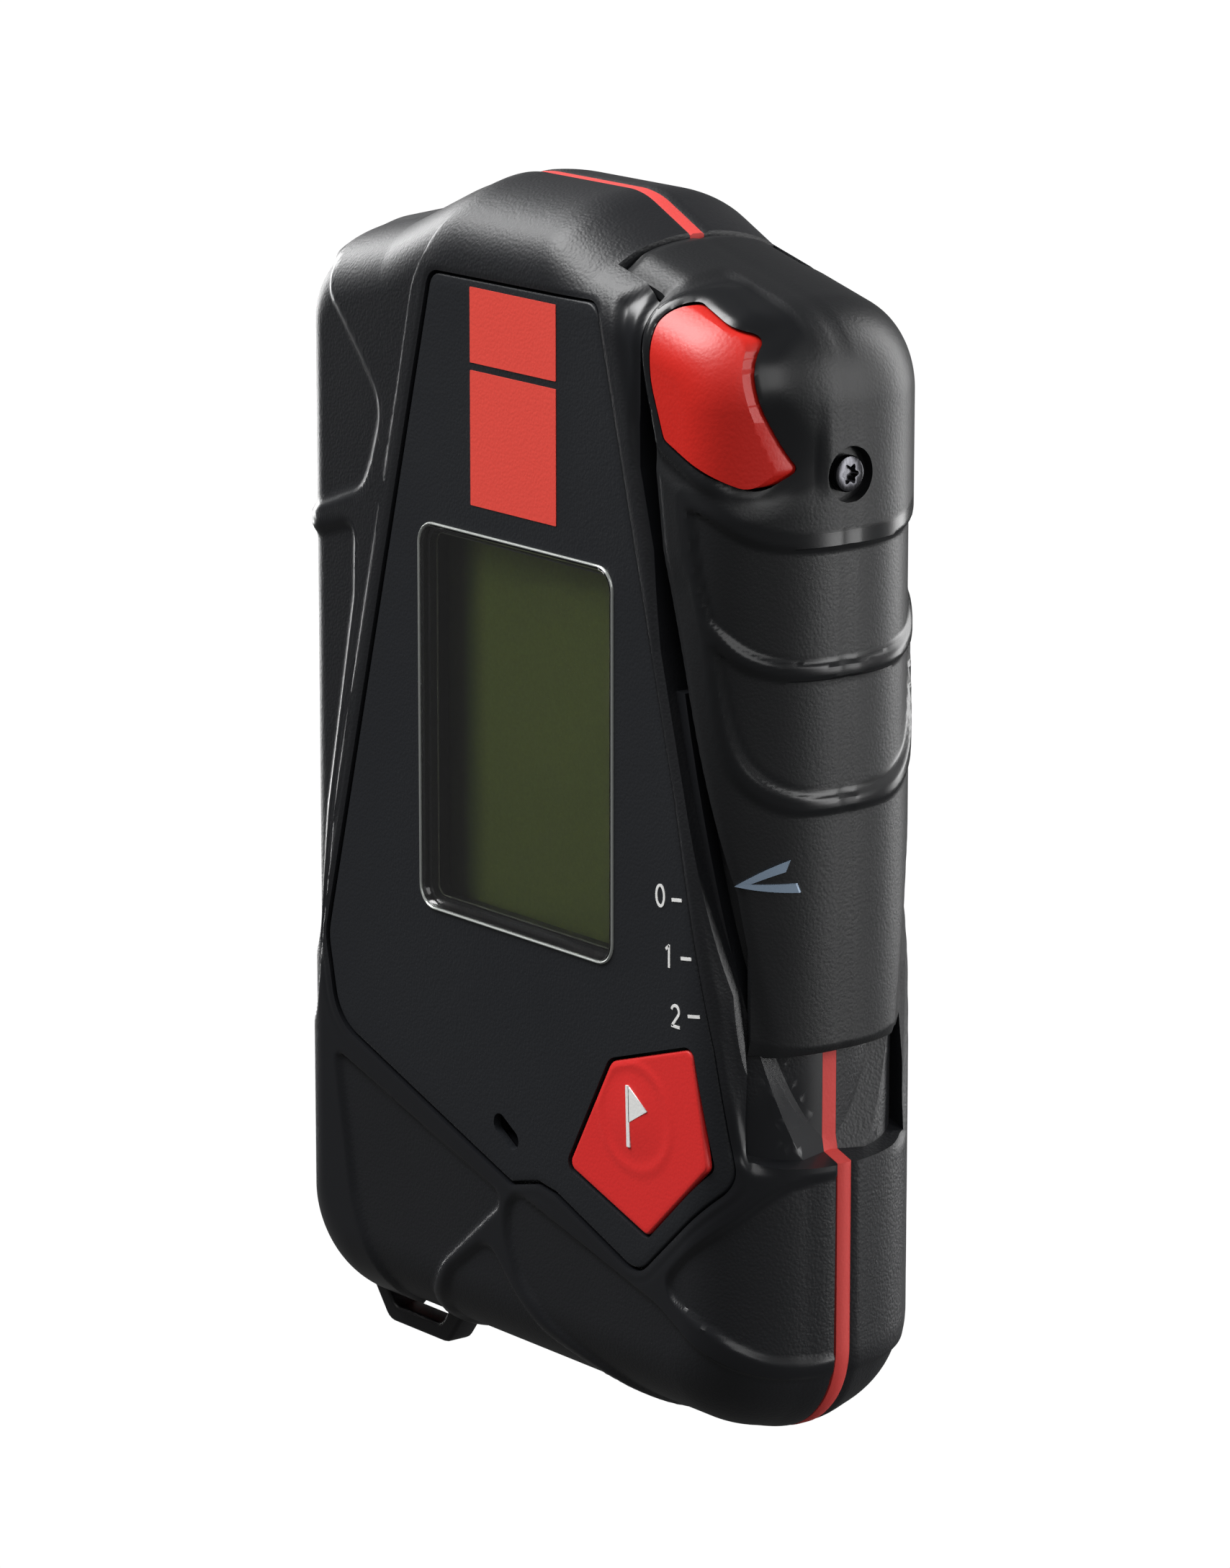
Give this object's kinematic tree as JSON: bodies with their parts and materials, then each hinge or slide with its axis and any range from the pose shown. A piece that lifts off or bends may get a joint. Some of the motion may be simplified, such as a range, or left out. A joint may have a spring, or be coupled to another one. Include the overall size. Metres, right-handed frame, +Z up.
{
  "type": "avalanche transceiver",
  "caption": "Hand-held rescue beacon: two half shells with a red gasket, a display, a red flag key and a sliding mode switch with a red lock button.",
  "frame": {"origin": "middle of the bounding box, the lanyard eye included", "axes": "+Z up along the long side, display facing -Y, mode switch on the +X side"},
  "size_m": [0.0692, 0.024, 0.1134],
  "materials": {
    "body_shell": "fine moulded grain, soft sheen, smoother ribs",
    "switch_shell": "leather-like moulded grain, glossy ribs",
    "panel_film": "fine-grained printed film",
    "red_key": "printed satin red",
    "red_gasket": "matte elastomer",
    "window": "clear, polished rim",
    "display": "olive liquid crystal glass",
    "diffuser": "frosted white",
    "dark_moulding": "plain black moulding",
    "steel": "plated steel",
    "dark_steel": "blackened steel",
    "board": "solder mask",
    "chip": "moulded package",
    "ferrite": "sintered ferrite",
    "copper": "enamelled copper winding",
    "cell_sleeve": "printed foil sleeve"
  },
  "bodies": {
    "root": {"front_shell": "body_shell", "rear_shell": "body_shell", "perimeter_seal": "red_gasket", "front_panel": "panel_film", "display_window": "window", "display_bezel": "dark_moulding", "lcd_glass": "display", "lcd_backlight": "diffuser", "lanyard_eye": "dark_moulding", "main_board": "board", "processor_chip": "chip", "radio_chip": "chip", "motion_sensor": "chip", "hall_sensor_1": "chip", "hall_sensor_2": "chip", "hall_sensor_3": "chip", "key_dome": "steel", "key_switch": "chip", "buzzer": "chip", "antenna_rod_x": "ferrite", "antenna_rod_y": "ferrite", "antenna_rod_z": "ferrite", "antenna_coil_x": "copper", "antenna_coil_y": "copper", "antenna_coil_z": "copper", "battery_cell": "cell_sleeve", "battery_plate": "steel", "battery_spring": "steel", "spring_plate": "steel", "shell_screw_1": "dark_steel", "shell_screw_2": "dark_steel", "shell_screw_3": "dark_steel", "shell_screw_4": "dark_steel"},
    "mode_switch": {"slider_cover": "switch_shell", "slider_runner": "dark_moulding", "slider_magnet": "steel", "slider_screw": "dark_steel"},
    "lock": {"lock_button": "red_key"},
    "flag_key": {"flag_button": "red_key"},
    "door": {"battery_door": "body_shell", "door_seal": "dark_moulding"},
    "door_fastener": {"door_screw": "dark_steel"}
  },
  "joints": [
    {"name": "mode_slide", "type": "slide", "parent": "root", "child": "mode_switch", "axis": [0, 0, -1], "range_m": [0, 0.0092]},
    {"name": "lock_press", "type": "slide", "parent": "mode_switch", "child": "lock", "axis": [0, 1, 0], "range_m": [0, 0.0008], "stiffness_N_per_m": 600, "springref_m": -0.0008},
    {"name": "flag_press", "type": "slide", "parent": "root", "child": "flag_key", "axis": [0, 1, 0], "range_m": [0, 0.0004], "stiffness_N_per_m": 900, "springref_m": -0.0006},
    {"name": "door_lift", "type": "slide", "parent": "root", "child": "door", "axis": [0, 1, 0], "range_m": [0, 0.02]},
    {"name": "door_screw_turn", "type": "hinge", "parent": "door", "child": "door_fastener", "pos_m": [-0.006, 0.0116, 0.0158], "axis": [0, 1, 0], "continuous": true}
  ]
}
